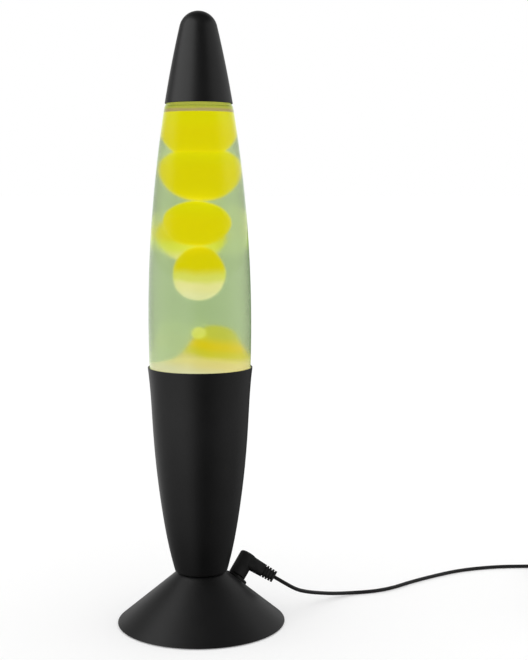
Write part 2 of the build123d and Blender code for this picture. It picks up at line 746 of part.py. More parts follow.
round_tube(
    [
        (PIN_OFFSET, 0, HOLDER_Z),
        (PIN_OFFSET, 0, 68),
        (1.4, 0, 54),
        (1.41, 0.1, 30),
        (1.4, 0, 14),
        (5.0, 3.0, 6.6),
        jack_point(-TAG_OFFSET, TAG_END - 4),
        jack_point(-TAG_OFFSET, TAG_END),
    ],
    LEAD_RADIUS,
    "holder_lead_front",
)
round_tube(
    [
        (-PIN_OFFSET, 0, HOLDER_Z),
        (-PIN_OFFSET, 0, 68),
        (-1.4, 0, 54),
        (-1.41, 0.1, 30),
        (-1.4, 0.5, 15),
        (1.6, 5.6, 6.0),
        (7.4, 10.2, 4.8),
        jack_point(TAG_OFFSET, TAG_END - 3.5),
        jack_point(TAG_OFFSET, TAG_END),
    ],
    LEAD_RADIUS,
    "holder_lead_rear",
)

# ---------------------------------------------------------------- plug in the jack

PLUG_BOTTOM = 2.6           # heights along the jack's axis, above the foot's side
PLUG_TOP = 19.3
PLUG_RADIUS = 5.9
BARREL_RADIUS = 2.75
BARREL_BORE = 1.06
BARREL_LENGTH = 9.5
ARM_HEIGHT = 14.3
ARM_END = 14.6
STRAIN_END = 22.9
RIBS = 4
RIB_PITCH = 2.05
RIB_THICKNESS = 1.5

arm_plane = Plane(
    JACK_CENTRE + JACK_OUT * ARM_HEIGHT,
    x_dir=jack_plane.y_dir,
    z_dir=jack_plane.x_dir,
)

with BuildPart() as plug_body:
    with BuildSketch(jack_plane.offset(PLUG_BOTTOM)):
        Circle(PLUG_RADIUS)
    extrude(amount=PLUG_TOP - PLUG_BOTTOM)
    fillet(plug_body.edges().sort_by(Axis(JACK_CENTRE, JACK_OUT))[-1], radius=1.6)
    with BuildSketch(arm_plane.offset(0.5)):
        RectangleRounded(11.2, 9.8, 3.0)
    with BuildSketch(arm_plane.offset(8.0)):
        RectangleRounded(9.0, 8.9, 2.6)
    with BuildSketch(arm_plane.offset(ARM_END)):
        RectangleRounded(8.4, 8.4, 2.4)
    loft()
save(plug_body.part, "plug_body")

with BuildPart() as plug_barrel:
    with BuildSketch(jack_plane.offset(PLUG_BOTTOM - BARREL_LENGTH)):
        Circle(BARREL_RADIUS)
        Circle(BARREL_BORE, mode=Mode.SUBTRACT)
    extrude(amount=BARREL_LENGTH)
save(plug_barrel.part, "plug_barrel")

with BuildPart() as plug_strain_relief:
    with BuildSketch(arm_plane.offset(ARM_END)):
        Circle(3.5)
    with BuildSketch(arm_plane.offset(STRAIN_END)):
        Circle(2.9)
    loft()
    for rib in range(RIBS):
        with BuildSketch(arm_plane.offset(ARM_END + 0.6 + rib * RIB_PITCH)):
            RectangleRounded(8.3 - 0.2 * rib, 8.3 - 0.2 * rib, 2.3)
        extrude(amount=RIB_THICKNESS)
save(plug_strain_relief.part, "plug_strain_relief")

# ---------------------------------------------------------------- cord and coil

cord_exit = JACK_CENTRE + JACK_OUT * ARM_HEIGHT + jack_plane.x_dir * STRAIN_END
cord_straight = cord_exit + jack_plane.x_dir * 9.0
for place in (cord_exit, cord_straight):
    print("cord start", [round(value, 2) for value in (place.X, place.Y, place.Z)])

round_tube(
    [
        (cord_exit.X, cord_exit.Y, cord_exit.Z),
        (cord_straight.X, cord_straight.Y, cord_straight.Z),
        (64.5, 20.9, 14.5),
        (72.6, 27.0, 11.0),
        (81.5, 36.9, 7.1),
        (91.5, 47.2, 3.4),
        (104.5, 55.3, 1.35),
        (120.5, 58.9, 1.3),
        (135.0, 67.3, 1.3),
        (148.0, 80.0, 1.3),
        (167.0, 95.0, 1.3),
        (190.0, 110.5, 1.3),
        (219.0, 119.5, 1.3),
        (243.0, 119.7, 1.3),
        (262.0, 117.6, 2.6),
    ],
    CORD_RADIUS,
    "cord_run",
)

with BuildPart() as cord_coil:
    with BuildSketch(Plane((COIL_CENTRE[0], COIL_CENTRE[1], 0), x_dir=(1, 0, 0), z_dir=(0, -1, 0))):
        with Locations((COIL_RADIUS, COIL_SECTION / 2)):
            RectangleRounded(COIL_SECTION, COIL_SECTION, 3.0)
    revolve(axis=Axis((COIL_CENTRE[0], COIL_CENTRE[1], 0), (0, 0, 1)))
save(cord_coil.part, "cord_coil")

TIE_WIDTH = 6.0
TIE_SHEET = 0.8

with BuildPart() as cord_tie:
    tie_middle = (COIL_CENTRE[0] - COIL_RADIUS, COIL_CENTRE[1] + TIE_WIDTH / 2, COIL_SECTION / 2 + 0.4)
    with BuildSketch(Plane(tie_middle, x_dir=(1, 0, 0), z_dir=(0, -1, 0))):
        RectangleRounded(COIL_SECTION + 2 * TIE_SHEET, COIL_SECTION + TIE_SHEET, 3.4)
        with Locations((0, -0.1)):
            RectangleRounded(COIL_SECTION, COIL_SECTION - TIE_SHEET, 2.8, mode=Mode.SUBTRACT)
    extrude(amount=TIE_WIDTH)
save(cord_tie.part, "cord_tie")

ADAPTER_MID_Z = ADAPTER_SIZE[2] / 2
ADAPTER_RELIEF = 8.0

round_tube(
    [
        (291.5, 101.0, 7.4),
        (291.3, 91.0, 7.8),
        (291.9, 80.0, 11.6),
        (ADAPTER_X, ADAPTER_END_Y + ADAPTER_RELIEF + 6.5, ADAPTER_MID_Z),
        (ADAPTER_X, ADAPTER_END_Y + ADAPTER_RELIEF, ADAPTER_MID_Z),
    ],
    CORD_RADIUS,
    "cord_tail",
)

# ---------------------------------------------------------------- plug-in power supply

ADAPTER_WALL = 2.0
ADAPTER_MIDDLE_Y = ADAPTER_END_Y - ADAPTER_SIZE[1] / 2
MAINS_PIN_Y = ADAPTER_END_Y - ADAPTER_SIZE[1] + 20.0
MAINS_PIN_RADIUS = 2.0
MAINS_PIN_LENGTH = 19.0
SLEEVE_LENGTH = 10.0
PIN_CORE_RADIUS = 1.5
PIN_PLACES = [
    (ADAPTER_X - MAINS_PIN_PITCH / 2, MAINS_PIN_Y),
    (ADAPTER_X + MAINS_PIN_PITCH / 2, MAINS_PIN_Y),
]
CASE_OUTER = (ADAPTER_SIZE[0], ADAPTER_SIZE[1])
CASE_INNER = (ADAPTER_SIZE[0] - 2 * ADAPTER_WALL, ADAPTER_SIZE[1] - 2 * ADAPTER_WALL)

with BuildPart() as adapter_case_front:
    with BuildSketch(Plane.XY):
        with Locations((ADAPTER_X, ADAPTER_MIDDLE_Y)):
            RectangleRounded(*CASE_OUTER, 5.0)
    extrude(amount=ADAPTER_MID_Z)
    fillet(adapter_case_front.edges().group_by(Axis.Z)[0], radius=3.0)
    with BuildSketch(Plane.XY.offset(ADAPTER_WALL)):
        with Locations((ADAPTER_X, ADAPTER_MIDDLE_Y)):
            RectangleRounded(*CASE_INNER, 3.0)
    extrude(amount=ADAPTER_MID_Z, mode=Mode.SUBTRACT)
save(adapter_case_front.part, "adapter_case_front")

with BuildPart() as adapter_case_back:
    with BuildSketch(Plane.XY.offset(ADAPTER_MID_Z)):
        with Locations((ADAPTER_X, ADAPTER_MIDDLE_Y)):
            RectangleRounded(*CASE_OUTER, 5.0)
    extrude(amount=ADAPTER_MID_Z)
    fillet(adapter_case_back.edges().group_by(Axis.Z)[-1], radius=2.0)
    with BuildSketch(Plane.XY.offset(ADAPTER_MID_Z)):
        with Locations((ADAPTER_X, ADAPTER_MIDDLE_Y)):
            RectangleRounded(*CASE_INNER, 3.0)
    extrude(amount=ADAPTER_MID_Z - ADAPTER_WALL, mode=Mode.SUBTRACT)
    with BuildSketch(Plane.XY.offset(ADAPTER_SIZE[2] - ADAPTER_WALL)):
        with Locations(*PIN_PLACES):
            Circle(MAINS_PIN_RADIUS + 0.02)
    extrude(amount=ADAPTER_WALL, mode=Mode.SUBTRACT)
save(adapter_case_back.part, "adapter_case_back")

SLEEVE_TOP_Z = ADAPTER_SIZE[2] + SLEEVE_LENGTH
PIN_TOP_Z = ADAPTER_SIZE[2] + MAINS_PIN_LENGTH

with BuildPart() as pin_sleeves:
    with BuildSketch(Plane.XY.offset(ADAPTER_SIZE[2] - ADAPTER_WALL)):
        with Locations(*PIN_PLACES):
            Circle(MAINS_PIN_RADIUS)
            Circle(PIN_CORE_RADIUS, mode=Mode.SUBTRACT)
    extrude(amount=SLEEVE_LENGTH + ADAPTER_WALL)
save(pin_sleeves.part, "pin_sleeves")

with BuildPart() as mains_pins:
    with BuildSketch(Plane.XY.offset(ADAPTER_SIZE[2] - ADAPTER_WALL - 4.0)):
        with Locations(*PIN_PLACES):
            Circle(PIN_CORE_RADIUS)
    extrude(amount=SLEEVE_LENGTH + ADAPTER_WALL + 4.0)
    with BuildSketch(Plane.XY.offset(SLEEVE_TOP_Z)):
        with Locations(*PIN_PLACES):
            Circle(MAINS_PIN_RADIUS)
    extrude(amount=PIN_TOP_Z - SLEEVE_TOP_Z)
    fillet(mains_pins.edges().group_by(Axis.Z)[-1], radius=1.2)
save(mains_pins.part, "mains_pins")

BOARD_Z = 8.0
BOARD_SHEET = 1.6

with BuildPart() as adapter_board:
    with BuildSketch(Plane.XY.offset(BOARD_Z)):
        with Locations((ADAPTER_X, ADAPTER_MIDDLE_Y)):
            Rectangle(36.0, 58.0)
    extrude(amount=BOARD_SHEET)
    for spot, size in (((-12.0, 18.0), (8.0, 18.0)), ((9.0, -20.0), (12.0, 12.0))):
        with BuildSketch(Plane.XY.offset(BOARD_Z + BOARD_SHEET)):
            with Locations((ADAPTER_X + spot[0], ADAPTER_MIDDLE_Y + spot[1])):
                Rectangle(*size)
        extrude(amount=9.0)
save(adapter_board.part, "adapter_board")

with BuildPart() as adapter_transformer:
    with BuildSketch(Plane.XY.offset(BOARD_Z + BOARD_SHEET)):
        with Locations((ADAPTER_X + 2.0, ADAPTER_MIDDLE_Y + 2.0)):
            RectangleRounded(20.0, 18.0, 1.5)
    extrude(amount=11.0)
save(adapter_transformer.part, "adapter_transformer")

relief_plane = Plane((ADAPTER_X, ADAPTER_END_Y, ADAPTER_MID_Z), x_dir=(1, 0, 0), z_dir=(0, 1, 0))

with BuildPart() as adapter_strain_relief:
    with BuildSketch(relief_plane):
        Circle(4.0)
    with BuildSketch(relief_plane.offset(ADAPTER_RELIEF)):
        Circle(2.2)
    loft()
save(adapter_strain_relief.part, "adapter_strain_relief")
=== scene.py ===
"""Looks of a lava lamp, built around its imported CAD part. Metres, in the part's frame."""

import json
from math import asin, cos, degrees, exp, pi, radians, sin, sqrt

import bmesh
import bpy
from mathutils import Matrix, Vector, noise


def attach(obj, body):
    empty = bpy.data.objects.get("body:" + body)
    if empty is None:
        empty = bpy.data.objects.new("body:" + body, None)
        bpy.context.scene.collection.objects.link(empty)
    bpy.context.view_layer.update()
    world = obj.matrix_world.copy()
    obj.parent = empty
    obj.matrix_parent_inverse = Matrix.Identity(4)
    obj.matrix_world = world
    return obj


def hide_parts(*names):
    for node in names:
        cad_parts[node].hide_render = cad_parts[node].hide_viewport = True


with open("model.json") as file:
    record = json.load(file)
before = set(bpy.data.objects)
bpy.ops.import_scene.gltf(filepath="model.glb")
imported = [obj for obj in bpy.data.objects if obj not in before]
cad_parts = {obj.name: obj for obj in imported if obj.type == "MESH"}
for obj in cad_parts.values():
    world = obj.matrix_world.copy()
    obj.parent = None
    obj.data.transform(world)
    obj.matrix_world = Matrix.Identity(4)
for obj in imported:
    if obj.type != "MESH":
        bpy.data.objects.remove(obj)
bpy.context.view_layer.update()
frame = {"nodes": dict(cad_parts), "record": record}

MM = 0.001

# ---------------------------------------------------------------- camera

CAMERA_PLACE = (0.0418, -0.8298, 0.2862)
CAMERA_PITCH = 6.22         # degrees below level
CAMERA_LENS = 69.7
CAMERA_SENSOR = 36.0

camera_data = bpy.data.cameras.new("camera")
camera_data.lens = CAMERA_LENS
camera_data.sensor_width = CAMERA_SENSOR
camera = bpy.data.objects.new("camera", camera_data)
camera.location = CAMERA_PLACE
camera.rotation_euler = (radians(90.0 - CAMERA_PITCH), 0.0, 0.0)
bpy.context.scene.collection.objects.link(camera)
bpy.context.scene.camera = camera

# ---------------------------------------------------------------- cord

CORD_DIAMETER = 0.0026

# Control points in millimetres: from the plug's strain relief down to the table and off to the
# right, as far as the coil.
CORD_RUN = [
    (48.94, 21.06, 23.46),
    (56.73, 19.74, 19.15),
    (64.5, 20.9, 14.5),
    (72.6, 27.0, 11.0),
    (81.5, 36.9, 7.1),
    (91.5, 47.2, 3.4),
    (104.5, 55.3, 1.35),
    (120.5, 58.9, 1.3),
    (135.0, 67.3, 1.3),
    (148.0, 80.0, 1.3),
    (167.0, 95.0, 1.3),
    (190.0, 110.5, 1.3),
    (219.0, 119.5, 1.3),
    (243.0, 120.4, 1.3),
    (262.0, 121.0, 1.3),
]
# From the coil up into the supply's strain relief.
CORD_TAIL = [
    (294.9, 91.0, 9.6),
    (293.2, 80.0, 12.4),
    (292.0, 72.5, 14.0),
    (292.0, 66.0, 14.0),
]
COIL_CENTRE = (274.0, 100.0)
COIL_OUTER = 21.3
COIL_INNER = 13.9
COIL_ROWS = 4
COIL_TURNS = 11.25
COIL_POINTS = 18            # control points in each turn
COIL_FLOOR = 1.3
COIL_ROW_HEIGHT = 2.43
COIL_WANDER = 0.22          # how far a turn strays from its place
COIL_CLIMB_FROM = 0.93      # share of a row after which the cord climbs to the next


def coil_points():
    """Control points of the wound cord: it winds in, then out, in rows on top of each other."""
    points = []
    total = int(COIL_TURNS * COIL_POINTS)
    for step in range(1, total):
        turn = step / COIL_POINTS
        place = COIL_ROWS * step / total
        row = min(int(place), COIL_ROWS - 1)
        inward = place - row
        share = inward if row % 2 == 0 else 1.0 - inward
        radius = COIL_OUTER + (COIL_INNER - COIL_OUTER) * share
        wander = COIL_WANDER * noise.noise(Vector((turn * 2.3, row * 5.0, 1.0)))
        climb = max(0.0, (inward - COIL_CLIMB_FROM) / 0.07) if row < COIL_ROWS - 1 else 0.0
        angle = radians(90.0) - 2.0 * pi * turn
        height = COIL_FLOOR + COIL_ROW_HEIGHT * (row + climb * climb * (3.0 - 2.0 * climb))
        reach = (radius + wander) / cos(pi / COIL_POINTS) ** 0.5
        points.append(
            (COIL_CENTRE[0] + reach * cos(angle), COIL_CENTRE[1] + reach * sin(angle), height)
        )
    return points


def nurbs_line(points):
    """A curve with those points as the control points of one smooth spline."""
    data = bpy.data.curves.new("route", "CURVE")
    data.dimensions = "3D"
    data.resolution_u = 6
    spline = data.splines.new("NURBS")
    spline.points.add(len(points) - 1)
    for control, place in zip(spline.points, points):
        control.co = (*(value * MM for value in place), 1.0)
    spline.order_u = 3
    spline.use_endpoint_u = True
    return bpy.data.objects.new("route", data)


def cord_along(name, points, diameter):
    """A round cord on that spline, as a mesh, and the points of its middle line."""
    line = nurbs_line(points)
    bpy.context.scene.collection.objects.link(line)
    meshes = []
    for thickness in (0.0, diameter / 2):
        line.data.bevel_depth = thickness
        line.data.bevel_resolution = 4
        line.data.use_fill_caps = thickness > 0.0
        bpy.context.view_layer.update()
        shown = line.evaluated_get(bpy.context.evaluated_depsgraph_get())
        meshes.append(bpy.data.meshes.new_from_object(shown))
    bpy.data.objects.remove(line)
    middle, surface = meshes
    surface.polygons.foreach_set("use_smooth", [True] * len(surface.polygons))
    cord = bpy.data.objects.new(name, surface)
    bpy.context.scene.collection.objects.link(cord)
    return cord, [tuple(vertex.co) for vertex in middle.vertices]


power_cord, cord_path = cord_along(
    "power_cord", CORD_RUN + coil_points() + CORD_TAIL, CORD_DIAMETER
)
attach(power_cord, "power_lead")
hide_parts("cord_run", "cord_coil", "cord_tail")

# ---------------------------------------------------------------- materials


def new_material(name):
    """An empty material with one Principled shader."""
    material = bpy.data.materials.new(name)
    material.use_nodes = True
    tree = material.node_tree
    tree.nodes.clear()
    output = tree.nodes.new("ShaderNodeOutputMaterial")
    shader = tree.nodes.new("ShaderNodeBsdfPrincipled")
    tree.links.new(shader.outputs["BSDF"], output.inputs["Surface"])
    return material, tree, shader


def output_of(tree):
    """A material's output node."""
    return next(node for node in tree.nodes if node.type == "OUTPUT_MATERIAL")


def coordinates(tree, kind="Object", scale=(1.0, 1.0, 1.0)):
    """Texture coordinates of the object, stretched by a scale."""
    source = tree.nodes.new("ShaderNodeTexCoord")
    mapping = tree.nodes.new("ShaderNodeMapping")
    mapping.inputs["Scale"].default_value = scale
    tree.links.new(source.outputs[kind], mapping.inputs["Vector"])
    return mapping.outputs["Vector"]


def cloud(tree, vector, scale, detail=3.0, roughness=0.5):
    """Noise with features of about 1 / scale metres."""
    node = tree.nodes.new("ShaderNodeTexNoise")
    node.inputs["Scale"].default_value = scale
    node.inputs["Detail"].default_value = detail
    node.inputs["Roughness"].default_value = roughness
    tree.links.new(vector, node.inputs["Vector"])
    return node.outputs["Fac"]


def ramp(tree, factor, stops, smooth=False):
    """Colours along a factor."""
    node = tree.nodes.new("ShaderNodeValToRGB")
    if smooth:
        node.color_ramp.interpolation = "EASE"
    elements = node.color_ramp.elements
    while len(elements) < len(stops):
        elements.new(0.5)
    for element, (place, colour) in zip(elements, stops):
        element.position = place
        element.color = (*colour, 1.0)
    tree.links.new(factor, node.inputs["Fac"])
    return node.outputs["Color"]


def spread(tree, factor, low, high, source=(0.3, 0.7)):
    """A factor mapped to a range of values."""
    node = tree.nodes.new("ShaderNodeMapRange")
    node.inputs["From Min"].default_value = source[0]
    node.inputs["From Max"].default_value = source[1]
    node.inputs["To Min"].default_value = low
    node.inputs["To Max"].default_value = high
    tree.links.new(factor, node.inputs["Value"])
    return node.outputs["Result"]


def emboss(tree, shader, height, distance):
    """Adds a bump of that depth, in metres, over any bump made before."""
    node = tree.nodes.new("ShaderNodeBump")
    node.inputs["Strength"].default_value = 1.0
    node.inputs["Distance"].default_value = distance
    tree.links.new(height, node.inputs["Height"])
    before = shader.inputs["Normal"].links
    if before:
        tree.links.new(before[0].from_socket, node.inputs["Normal"])
    tree.links.new(node.outputs["Normal"], shader.inputs["Normal"])


def grey(value, tint=(1.0, 1.0, 1.0)):
    """A grey of that brightness, with a tint."""
    return tuple(value * part for part in tint)


def mottled(name, dark, light, scale, roughness, bump, bump_scale, stretch=(1, 1, 1), **constants):
    """A moulded, cast or coated finish: soft colour variation, uneven gloss and a fine bump."""
    material, tree, shader = new_material(name)
    vector = coordinates(tree, scale=stretch)
    broad = cloud(tree, vector, scale)
    fine = cloud(tree, vector, bump_scale, detail=2.0)
    tree.links.new(ramp(tree, broad, [(0.3, dark), (0.7, light)]), shader.inputs["Base Color"])
    tree.links.new(spread(tree, fine, *roughness), shader.inputs["Roughness"])
    emboss(tree, shader, fine, bump)
    for socket, value in constants.items():
        shader.inputs[socket.replace("_", " ")].default_value = value
    return material


MATERIALS = {
    "black_metal": mottled(
        "black_metal", grey(0.0032), grey(0.0052, (1.0, 1.0, 1.05)), 26.0, (0.36, 0.46),
        0.00004, 1500.0, Specular_IOR_Level=0.36,
    ),
    "black_plastic": mottled(
        "black_plastic", grey(0.003), grey(0.006), 90.0, (0.36, 0.50), 0.00005, 2200.0,
        Specular_IOR_Level=0.38,
    ),
    "black_rubber": mottled(
        "black_rubber", grey(0.006), grey(0.012), 160.0, (0.62, 0.80), 0.0001, 1200.0,
        Specular_IOR_Level=0.30,
    ),
    "cord_pvc": mottled(
        "cord_pvc", grey(0.006), grey(0.010), 120.0, (0.32, 0.46), 0.00004, 1800.0,
        Specular_IOR_Level=0.40,
    ),
    "liner_rubber": mottled(
        "liner_rubber", grey(0.30, (1.0, 0.95, 0.85)), grey(0.38, (1.0, 0.95, 0.85)), 200.0,
        (0.55, 0.70), 0.00008, 1500.0,
    ),
    "silicone": mottled(
        "silicone", grey(0.42), grey(0.52), 180.0, (0.40, 0.55), 0.00006, 1500.0,
        Subsurface_Weight=0.2, Subsurface_Scale=0.003,
    ),
    "holder_ceramic": mottled(
        "holder_ceramic", (0.60, 0.58, 0.52), (0.76, 0.74, 0.68), 420.0, (0.30, 0.48), 0.00007,
        900.0, Coat_Weight=0.15,
    ),
    "spring_steel": mottled(
        "spring_steel", grey(0.42), grey(0.58), 220.0, (0.22, 0.36), 0.00003, 1600.0,
        (1, 1, 6), Metallic=1.0,
    ),
    "zinc_steel": mottled(
        "zinc_steel", (0.46, 0.47, 0.49), (0.62, 0.63, 0.66), 130.0, (0.28, 0.46), 0.00004,
        1400.0, (1, 1, 3), Metallic=1.0,
    ),
    "crown_steel": mottled(
        "crown_steel", (0.58, 0.57, 0.53), (0.72, 0.70, 0.66), 90.0, (0.18, 0.32), 0.00003,
        1700.0, Metallic=1.0,
    ),
    "nickel": mottled(
        "nickel", (0.60, 0.57, 0.52), (0.72, 0.69, 0.63), 160.0, (0.14, 0.26), 0.00002, 2200.0,
        Metallic=1.0,
    ),
}

# The lead's sleeve is braided glass fibre.
MATERIALS["lead_sleeve"], tree, shader = new_material("lead_sleeve")
braid = tree.nodes.new("ShaderNodeTexWave")
braid.bands_direction = "DIAGONAL"
braid.inputs["Scale"].default_value = 420.0
braid.inputs["Distortion"].default_value = 3.0
braid.inputs["Detail Scale"].default_value = 4.0
tree.links.new(coordinates(tree), braid.inputs["Vector"])
tree.links.new(
    ramp(tree, braid.outputs["Fac"], [(0.2, (0.52, 0.47, 0.36)), (0.8, (0.80, 0.77, 0.68))]),
    shader.inputs["Base Color"],
)
shader.inputs["Roughness"].default_value = 0.75
emboss(tree, shader, braid.outputs["Fac"], 0.00015)

# The supply's circuit board: green lacquer over copper tracks.
MATERIALS["circuit_board"], tree, shader = new_material("circuit_board")
tracks = tree.nodes.new("ShaderNodeTexBrick")
tracks.inputs["Scale"].default_value = 180.0
tracks.inputs["Color1"].default_value = (0.010, 0.13, 0.045, 1.0)
tracks.inputs["Color2"].default_value = (0.014, 0.20, 0.070, 1.0)
tracks.inputs["Mortar"].default_value = (0.005, 0.06, 0.022, 1.0)
tracks.inputs["Mortar Size"].default_value = 0.03
tree.links.new(coordinates(tree), tracks.inputs["Vector"])
tree.links.new(tracks.outputs["Color"], shader.inputs["Base Color"])
tree.links.new(
    spread(tree, cloud(tree, coordinates(tree), 300.0), 0.25, 0.42), shader.inputs["Roughness"]
)

# The transformer's stack of steel sheets.
MATERIALS["transformer"], tree, shader = new_material("transformer")
sheets = tree.nodes.new("ShaderNodeTexWave")
sheets.bands_direction = "Y"
sheets.inputs["Scale"].default_value = 320.0
tree.links.new(coordinates(tree), sheets.inputs["Vector"])
tree.links.new(
    ramp(tree, sheets.outputs["Fac"], [(0.1, (0.05, 0.05, 0.055)), (0.6, (0.24, 0.23, 0.22))]),
    shader.inputs["Base Color"],
)
shader.inputs["Metallic"].default_value = 0.8
shader.inputs["Roughness"].default_value = 0.45
emboss(tree, shader, sheets.outputs["Fac"], 0.0001)

# Clear glass of the bulb.
MATERIALS["bulb_glass"], tree, shader = new_material("bulb_glass")
shader.inputs["Base Color"].default_value = (0.97, 0.98, 0.99, 1.0)
shader.inputs["Transmission Weight"].default_value = 1.0
shader.inputs["IOR"].default_value = 1.47
tree.links.new(
    spread(tree, cloud(tree, coordinates(tree), 120.0), 0.0, 0.06), shader.inputs["Roughness"]
)

# The bottle: clear glass with the slight waviness of a blown wall.
MATERIALS["bottle_glass"], tree, shader = new_material("bottle_glass")
shader.inputs["Base Color"].default_value = (0.985, 1.0, 0.985, 1.0)
shader.inputs["Transmission Weight"].default_value = 1.0
shader.inputs["IOR"].default_value = 1.5
shader.inputs["Roughness"].default_value = 0.0
emboss(tree, shader, cloud(tree, coordinates(tree, scale=(1, 1, 0.35)), 45.0, detail=1.0), 0.00006)
# A painted glow: green emission at the wall's outline, seen only where the wall turns away, stands
# in for light that the wall carries round to it.
outline = tree.nodes.new("ShaderNodeLayerWeight")
outline.inputs["Blend"].default_value = 0.5
shader.inputs["Emission Color"].default_value = (0.60, 1.0, 0.45, 1.0)
tree.links.new(
    spread(tree, outline.outputs["Facing"], 0.0, 0.16, (0.60, 0.95)),
    shader.inputs["Emission Strength"],
)

# The liquid: water tinted green, faintly cloudy, so that what is further back looks softer.
MATERIALS["tinted_liquid"], tree, shader = new_material("tinted_liquid")
shader.inputs["Base Color"].default_value = (0.82, 0.955, 0.635, 1.0)
shader.inputs["Transmission Weight"].default_value = 1.0
shader.inputs["IOR"].default_value = 1.33
shader.inputs["Roughness"].default_value = 0.26
absorption = tree.nodes.new("ShaderNodeVolumeAbsorption")
absorption.inputs["Color"].default_value = (0.555, 0.72, 0.30, 1.0)
absorption.inputs["Density"].default_value = 12.4
tree.links.new(absorption.outputs["Volume"], output_of(tree).inputs["Volume"])


WAX_DRIFT = 0.12            # how far noise shifts the colours along the height
# The wax's lit colour is dimmed to this share, beside its painted glow.
WAX_BODY = (0.4, 0.4, 0.4, 1.0)


def wax_material(name, stops, glow, vector_kind="Generated", rise=(0.0, 1.0), lean=0.0):
    """Warm wax with a painted glow in its own colour, for the bulb's light through it: its colour
    follows the height, and the lean moves it along X.
    """
    material, tree, shader = new_material(name)
    split = tree.nodes.new("ShaderNodeSeparateXYZ")
    tree.links.new(coordinates(tree, vector_kind), split.inputs["Vector"])
    height = spread(tree, split.outputs["Z"], 0.0, 1.0, rise)
    drift = tree.nodes.new("ShaderNodeMath")
    drift.operation = "MULTIPLY_ADD"
    tree.links.new(cloud(tree, coordinates(tree), 55.0, 2.0, 0.45), drift.inputs[0])
    drift.inputs[1].default_value = WAX_DRIFT
    aslant = tree.nodes.new("ShaderNodeMath")
    aslant.operation = "MULTIPLY_ADD"
    tree.links.new(split.outputs["X"], aslant.inputs[0])
    aslant.inputs[1].default_value = lean
    tree.links.new(height, aslant.inputs[2])
    tree.links.new(aslant.outputs["Value"], drift.inputs[2])
    colour = ramp(tree, drift.outputs["Value"], stops, smooth=True)
    body = tree.nodes.new("ShaderNodeMixRGB")
    body.blend_type = "MULTIPLY"
    body.inputs["Fac"].default_value = 1.0
    body.inputs["Color2"].default_value = WAX_BODY
    tree.links.new(colour, body.inputs["Color1"])
    tree.links.new(body.outputs["Color"], shader.inputs["Base Color"])
    # Painted glow: the wax emits its own colour, standing in for the bulb's light through it.
    tree.links.new(colour, shader.inputs["Emission Color"])
    shader.inputs["Emission Strength"].default_value = glow
    shader.inputs["Specular IOR Level"].default_value = 0.03
    shader.inputs["Subsurface Weight"].default_value = 0.6
    shader.inputs["Subsurface Scale"].default_value = 0.006
    shader.inputs["Subsurface Radius"].default_value = (1.0, 0.8, 0.25)
    tree.links.new(
        spread(tree, cloud(tree, coordinates(tree), 400.0), 0.34, 0.46), shader.inputs["Roughness"]
    )
    return material


YELLOW = (0.795, 0.645, 0.0)
BRIGHT = (0.775, 0.675, 0.0)
PALE = (0.91, 0.80, 0.40)
CREAM = (0.86, 0.79, 0.52)
ORANGE = (0.78, 0.62, 0.0)

MATERIALS["wax"] = wax_material("wax", [(0.10, YELLOW), (0.55, YELLOW), (1.0, BRIGHT)], 1.06)
MATERIALS["wax_ball"] = wax_material(
    "wax_ball",
    [(0.10, CREAM), (0.34, PALE), (0.50, (0.80, 0.75, 0.16)), (0.70, YELLOW), (1.0, ORANGE)],
    1.05,
)
MATERIALS["wax_droplet"] = wax_material(
    "wax_droplet", [(0.2, (0.84, 0.80, 0.18)), (0.9, (0.90, 0.84, 0.22))], 1.0
)
MATERIALS["wax_rear"] = wax_material(
    "wax_rear", [(0.12, PALE), (0.36, (0.78, 0.75, 0.10)), (0.60, YELLOW)], 1.1
)
MATERIALS["wax_pool"] = wax_material(
    "wax_pool",
    [
        (0.14, (0.78, 0.70, 0.50)),
        (0.40, (0.87, 0.69, 0.31)),
        (0.54, (0.80, 0.66, 0.05)),
        (0.72, (0.94, 0.66, 0.01)),
        (1.00, (0.71, 0.64, 0.09)),
    ],
    0.98,
    "Object",
    (0.168, 0.196),
    6.5,
)
# Painted glow for the band under the cap, brownish at its lowest part.
MATERIALS["wax_film"] = wax_material(
    "wax_film",
    [
        (0.27, (0.34, 0.31, 0.20)),
        (0.33, (0.39, 0.46, 0.10)),
        (1.0, (0.38, 0.45, 0.09)),
    ],
    0.62,
    "Object",
    (0.3347, 0.3470),
)

# ---------------------------------------------------------------- shapes


def add_mesh(name, verts, faces, material, body, slot, replaced):
    """A piece from points in millimetres and faces, on a body, in place of CAD nodes."""
    mesh = bpy.data.meshes.new(name)
    mesh.from_pydata([tuple(value * MM for value in place) for place in verts], [], faces)
    mesh.validate()
    shape = bmesh.new()
    shape.from_mesh(mesh)
    bmesh.ops.recalc_face_normals(shape, faces=shape.faces)
    shape.to_mesh(mesh)
    shape.free()
    mesh.polygons.foreach_set("use_smooth", [True] * len(mesh.polygons))
    piece = bpy.data.objects.new(name, mesh)
    bpy.context.scene.collection.objects.link(piece)
    piece.data.materials.append(MATERIALS[material])
    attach(piece, body)
    if replaced:
        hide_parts(*replaced)
    return piece


def lathe(outline, segments=192):
    """Points and faces of a half outline turned round the axis; it may start or end on the axis."""
    verts, faces, rings = [], [], []
    for radius, height in outline:
        if radius < 1e-6:
            rings.append([len(verts)])
            verts.append((0.0, 0.0, height))
            continue
        rings.append(list(range(len(verts), len(verts) + segments)))
        for step in range(segments):
            angle = 2.0 * pi * step / segments
            verts.append((radius * cos(angle), radius * sin(angle), height))
    for below, above in zip(rings, rings[1:]):
        for step in range(segments):
            after = (step + 1) % segments
            if len(below) == 1:
                faces.append((below[0], above[after], above[step]))
            elif len(above) == 1:
                faces.append((below[step], below[after], above[0]))
            else:
                faces.append((below[step], below[after], above[after], above[step]))
    return verts, faces


